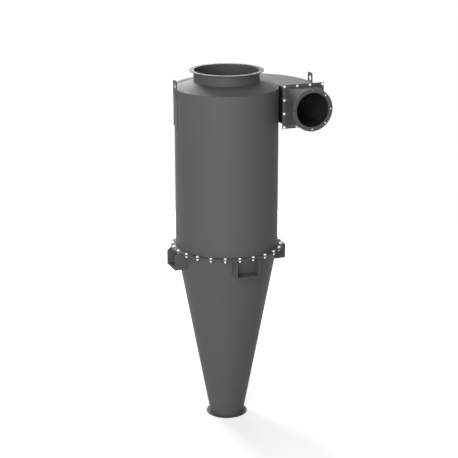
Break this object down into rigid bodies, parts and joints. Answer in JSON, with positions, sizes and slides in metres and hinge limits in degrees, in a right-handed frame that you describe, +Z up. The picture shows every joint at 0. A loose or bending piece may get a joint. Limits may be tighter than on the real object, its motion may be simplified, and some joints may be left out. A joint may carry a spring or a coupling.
{
  "type": "cyclone separator",
  "caption": "Cyclone separator with a tangential square-to-round inlet, scroll head, top outlet, bolted cone and bottom discharge.",
  "frame": {"origin": "on the cyclone's axis, in the plane of the four support brackets' undersides", "axes": "+Z up along the cyclone's axis to the clean air outlet, -Y the way the inlet flange faces, +X towards the inlet"},
  "size_m": [1.179, 1.009, 2.816],
  "materials": {
    "shell_paint": "satin anthracite powder coat",
    "flange_paint": "satin anthracite powder coat",
    "zinc": "bright zinc plate"
  },
  "bodies": {
    "root": {"back_bracket_base": "flange_paint", "back_bracket_left_cheek": "flange_paint", "back_bracket_right_cheek": "flange_paint", "barrel_flange": "flange_paint", "barrel_head": "shell_paint", "barrel_shell": "shell_paint", "cone_flange": "flange_paint", "cone_shell": "shell_paint", "discharge_flange": "flange_paint", "duct_flange": "flange_paint", "duct_inner_wall": "shell_paint", "duct_outer_wall": "shell_paint", "front_bracket_base": "flange_paint", "front_bracket_left_cheek": "flange_paint", "front_bracket_right_cheek": "flange_paint", "inlet_flange": "flange_paint", "inlet_transition": "shell_paint", "left_bracket_base": "flange_paint", "left_bracket_left_cheek": "flange_paint", "left_bracket_right_cheek": "flange_paint", "lifting_lug_left": "flange_paint", "lifting_lug_right": "flange_paint", "outlet_flange": "flange_paint", "outlet_tube": "shell_paint", "right_bracket_base": "flange_paint", "right_bracket_left_cheek": "flange_paint", "right_bracket_right_cheek": "flange_paint", "roof_cone": "shell_paint", "scroll_floor": "shell_paint", "scroll_roof": "shell_paint", "scroll_wall": "shell_paint", "transition_flange": "flange_paint"}
  },
  "joints": []
}
